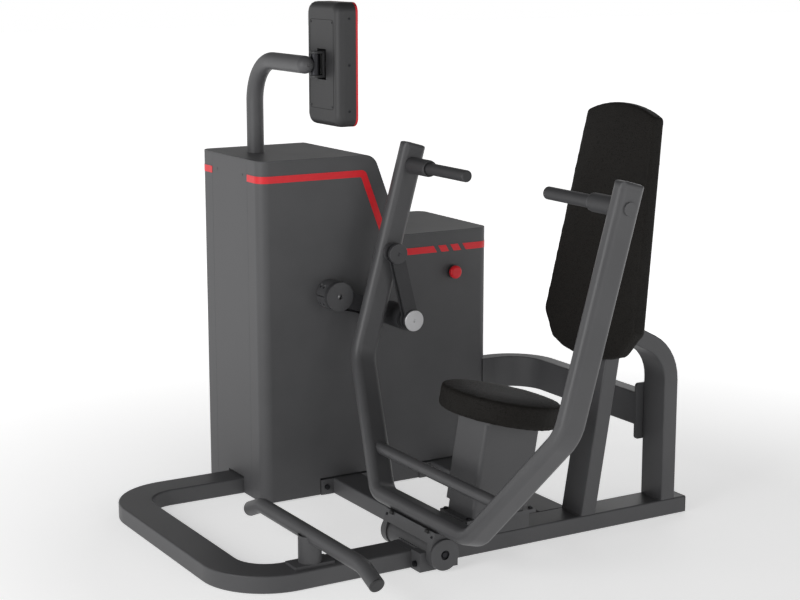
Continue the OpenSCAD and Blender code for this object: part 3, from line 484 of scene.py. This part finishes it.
vinyl = grained_vinyl("black_grained_vinyl")
seat_tilt = math.radians(11)
back_lean = math.radians(9.4)
seat_down = Vector((0, -math.sin(seat_tilt), -math.cos(seat_tilt)))
into_board = Vector((0, math.cos(back_lean), -math.sin(back_lean)))
stuffed("seat_cushion", "seat", seat_down, 0.005, 0.007, vinyl)
stuffed("back_pad", "frame", into_board, 0.006, 0.008, vinyl)

# The plywood behind the backrest, stained black, with its grain running up.
board = bpy.data.materials.new("stained_plywood")
board.use_nodes = True
board_tree = board.node_tree
board_shader = board_tree.nodes["Principled BSDF"]
board_shader.inputs["Roughness"].default_value = 0.6
board_where = board_tree.nodes.new("ShaderNodeTexCoord")
board_stretch = board_tree.nodes.new("ShaderNodeMapping")
board_stretch.inputs["Scale"].default_value = (160, 160, 6)
board_tree.links.new(board_where.outputs["Object"], board_stretch.inputs["Vector"])
board_grain = board_tree.nodes.new("ShaderNodeTexNoise")
board_grain.inputs["Scale"].default_value = 1
board_grain.inputs["Detail"].default_value = 5
board_tree.links.new(board_stretch.outputs["Vector"], board_grain.inputs["Vector"])
board_tint = board_tree.nodes.new("ShaderNodeValToRGB")
board_tint.color_ramp.elements[0].color = (0.010, 0.009, 0.008, 1)
board_tint.color_ramp.elements[1].color = (0.035, 0.030, 0.026, 1)
board_tree.links.new(board_grain.outputs["Fac"], board_tint.inputs["Fac"])
board_tree.links.new(board_tint.outputs["Color"], board_shader.inputs["Base Color"])
softened("back_board", "frame", board, 0.002, 2)
softened("seat_sleeve", "seat", frame_coat, 0.001, 2)

# ---------------------------------------------------------------------------
# Screen: a black moulded case with deep rounded back edges, a red band round
# its front, a dark glass face, and a dark yoke that turns and tilts it.
softened("screen_case", "screen", black_plastic, 0.0015, 2)
softened("screen_clevis", "screen_swivel", black_plastic, 0.0012, 2)
screen_front = softened("screen_glass", "screen", red_paint, 0.001, 2)
glass = bpy.data.materials.new("dark_glass")
glass.use_nodes = True
glass_tree = glass.node_tree
glass_shader = glass_tree.nodes["Principled BSDF"]
glass_shader.inputs["Coat Weight"].default_value = 0.6
glass_shader.inputs["Coat Roughness"].default_value = 0.05
glass_where = glass_tree.nodes.new("ShaderNodeTexCoord")
glass_smear = glass_tree.nodes.new("ShaderNodeTexNoise")
glass_smear.inputs["Scale"].default_value = 14
glass_smear.inputs["Detail"].default_value = 3
glass_tree.links.new(glass_where.outputs["Object"], glass_smear.inputs["Vector"])
glass_gloss = glass_tree.nodes.new("ShaderNodeMapRange")
glass_gloss.inputs["To Min"].default_value = 0.08
glass_gloss.inputs["To Max"].default_value = 0.2
glass_tree.links.new(glass_smear.outputs["Fac"], glass_gloss.inputs["Value"])
glass_tree.links.new(glass_gloss.outputs["Result"], glass_shader.inputs["Roughness"])
glass_shader.inputs["Base Color"].default_value = (0.006, 0.006, 0.008, 1)
screen_front.data.materials.append(glass)
glass_low, glass_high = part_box("screen_glass")
bezel = 0.0075
for patch in screen_front.data.polygons:
    inside_x = glass_low.x + bezel < patch.center.x < glass_high.x - bezel
    inside_z = glass_low.z + bezel < patch.center.z < glass_high.z - bezel
    if inside_x and inside_z:
        patch.material_index = 1

# A fine seam and four screws hold the service plate on the case's back, and
# three more screws run down the case's edge beside the red band.
case_low, case_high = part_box("screen_case")
seam_inset = Vector((0.026, 0, 0.05))
seam_radius = 0.012
seam_points = []
for quarter in range(4):
    side_x = 1 if quarter in (0, 3) else -1
    side_z = 1 if quarter in (0, 1) else -1
    middle = (case_low + case_high) / 2
    reach = (case_high - case_low) / 2 - seam_inset
    for step in range(7):
        turn = math.radians(90 * quarter + 15 * step)
        seam_points.append((
            middle.x + side_x * (reach.x - seam_radius) + seam_radius * math.cos(turn),
            case_low.y - 0.0001,
            middle.z + side_z * (reach.z - seam_radius) + seam_radius * math.sin(turn),
        ))
bpy.ops.curve.primitive_bezier_circle_add()
seam = bpy.context.object
seam.name = "service_plate_seam"
seam.data.splines.clear()
line = seam.data.splines.new("POLY")
line.points.add(len(seam_points) - 1)
for point, at in zip(line.points, seam_points):
    point.co = (*at, 1)
line.use_cyclic_u = True
seam.data.bevel_depth = 0.0006
bpy.ops.object.convert(target="MESH")
bpy.ops.object.shade_smooth()
seam_black = moulded(
    "seam_black", (0.006, 0.006, 0.006, 1), (0.010, 0.010, 0.010, 1), 0.7, 300, 0.0002
)
dress(seam, seam_black)
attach(seam, "screen")


def socket_screw(name, body, at, facing, head_r, head_h, finish=blackened):
    bpy.ops.object.select_all(action="DESELECT")
    bpy.ops.mesh.primitive_cylinder_add(
        vertices=32, radius=head_r, depth=head_h, location=(0, 0, head_h / 2)
    )
    screw = bpy.context.object
    screw.name = name
    bpy.ops.object.transform_apply(location=True)
    bpy.ops.object.modifier_add(type="BEVEL")
    screw.modifiers[-1].width = head_r * 0.14
    screw.modifiers[-1].segments = 2
    bpy.ops.object.modifier_apply(modifier=screw.modifiers[-1].name)
    bpy.ops.mesh.primitive_cylinder_add(
        vertices=6, radius=head_r * 0.52, depth=head_h, location=(0, 0, head_h * 0.95)
    )
    key_hole = bpy.context.object
    bpy.ops.object.transform_apply(location=True)
    bpy.context.view_layer.objects.active = screw
    bpy.ops.object.modifier_add(type="BOOLEAN")
    screw.modifiers[-1].object = key_hole
    screw.modifiers[-1].operation = "DIFFERENCE"
    bpy.ops.object.modifier_apply(modifier=screw.modifiers[-1].name)
    bpy.data.objects.remove(key_hole)
    bpy.ops.object.select_all(action="DESELECT")
    screw.select_set(True)
    bpy.ops.object.shade_smooth_by_angle(angle=math.radians(35))
    turn = Vector(facing).to_track_quat("Z", "Y").to_matrix().to_4x4()
    screw.data.transform(Matrix.Translation(at) @ turn)
    dress(screw, finish)
    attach(screw, body)
    return screw


for row, lift in enumerate((-0.132, 0, 0.132)):
    edge_at = (case_high.x - 0.0006, case_high.y - 0.022, (case_low.z + case_high.z) / 2 + lift)
    socket_screw(f"screen_edge_screw_{row}", "screen", edge_at, (1, 0, 0), 0.0036, 0.0018)
for corner, (side_x, side_z) in enumerate(((-1, -1), (1, -1), (-1, 1), (1, 1))):
    plate_at = (
        middle.x + side_x * (reach.x - 0.008), case_low.y + 0.0005, middle.z + side_z * (reach.z - 0.008)
    )
    socket_screw(f"service_screw_{corner}", "screen", plate_at, (0, -1, 0), 0.0026, 0.0014)

# ---------------------------------------------------------------------------
# Fixings on the frame: cap screws in the saddle's ears and at the seat foot, and
# two rubber stops between the saddle and the U.
saddle_low, saddle_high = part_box("lever_saddle")
lever_lean = math.radians(15.68)
up_lever = Vector((0, math.sin(lever_lean), math.cos(lever_lean)))
back_lever = Vector((0, math.cos(lever_lean), -math.sin(lever_lean)))
ear_front = 0.045
for side, ear_x in (("near", saddle_high.x - 0.011), ("far", saddle_low.x + 0.011)):
    ear_at = Vector((ear_x, lever_pivot.y, lever_pivot.z)) + up_lever * 0.040
    ear_at = ear_at - back_lever * (ear_front - 0.0008)
    socket_screw(f"saddle_screw_{side}", "lever", ear_at, -back_lever, 0.0045, 0.0022)

pedestal_low, pedestal_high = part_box("seat_pedestal")
for side_x in (-1, 1):
    for end, foot_y in (("front", pedestal_low.y + 0.012), ("back", pedestal_high.y - 0.012)):
        foot_at = (side_x * (pedestal_high.x - 0.012), foot_y, pedestal_high.z - 0.0005)
        socket_screw(f"seat_foot_screw_{end}_{side_x + 1}", "frame", foot_at, (0, 0, 1), 0.0065, 0.0055)

bpy.ops.object.select_all(action="DESELECT")
stop_size = Vector((0.016, 0.010, 0.009))
for side, stop_x in (("near", 0.082), ("far", -0.107)):
    bpy.ops.mesh.primitive_cube_add(size=1)
    stop = bpy.context.object
    stop.name = f"rubber_stop_{side}"
    stop.data.transform(Matrix.Diagonal((*stop_size, 1)))
    bpy.ops.object.modifier_add(type="BEVEL")
    stop.modifiers[-1].width = 0.0015
    stop.modifiers[-1].segments = 3
    bpy.ops.object.modifier_apply(modifier=stop.modifiers[-1].name)
    bpy.ops.object.shade_smooth_by_angle(angle=math.radians(35))
    stop_at = Vector((stop_x, lever_pivot.y, lever_pivot.z)) + up_lever * 0.050 - back_lever * 0.046
    lean = Matrix.Rotation(-lever_lean, 4, "X")
    stop.data.transform(Matrix.Translation(stop_at) @ lean)
    dress(stop, black_rubber)
    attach(stop, "lever")


# Weld beads: short rippled fillets along the feet of the posts and the seat pedestal.
def weld_bead(name, body, start, end, radius):
    start, end = Vector(start), Vector(end)
    along = end - start
    rings = max(8, int(along.length / 0.0022))
    bpy.ops.object.select_all(action="DESELECT")
    bpy.ops.mesh.primitive_grid_add(x_subdivisions=12, y_subdivisions=rings, size=1)
    bead = bpy.context.object
    bead.name = name
    for vertex in bead.data.vertices:
        around = (vertex.co.x + 0.5) * math.tau
        down_bead = vertex.co.y + 0.5
        ripple = 1 + 0.16 * math.sin(down_bead * along.length / 0.0032 * math.tau)
        taper = min(1, 12 * down_bead + 0.3, 12 * (1 - down_bead) + 0.3)
        wide = radius * ripple * taper
        vertex.co = (wide * math.cos(around), wide * math.sin(around), along.length * down_bead)
    bpy.ops.object.mode_set(mode="EDIT")
    bpy.ops.mesh.select_all(action="SELECT")
    bpy.ops.mesh.remove_doubles(threshold=0.00005)
    bpy.ops.mesh.fill_holes(sides=0)
    bpy.ops.mesh.normals_make_consistent(inside=False)
    bpy.ops.object.mode_set(mode="OBJECT")
    bpy.ops.object.shade_smooth()
    turn = along.to_track_quat("Z", "Y").to_matrix().to_4x4()
    bead.data.transform(Matrix.Translation(start) @ turn)
    dress(bead, frame_coat)
    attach(bead, body)


rail_low, rail_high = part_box("long_rail")
slant_low, slant_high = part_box("slant_post")
bead_r = 0.0026
half_wide = rail_high.x - 0.004
slant_foot = 0.050 / math.cos(back_lean)
for tag, foot_y in (
    ("slant_front", slant_low.y), ("slant_back", slant_low.y + slant_foot),
    ("rear_front", 0.572), ("rear_back", 0.622),
    ("pedestal_front", -0.117), ("pedestal_back", 0.093),
):
    weld_bead(
        f"bead_{tag}", "frame", (-half_wide, foot_y, rail_high.z), (half_wide, foot_y, rail_high.z), bead_r
    )
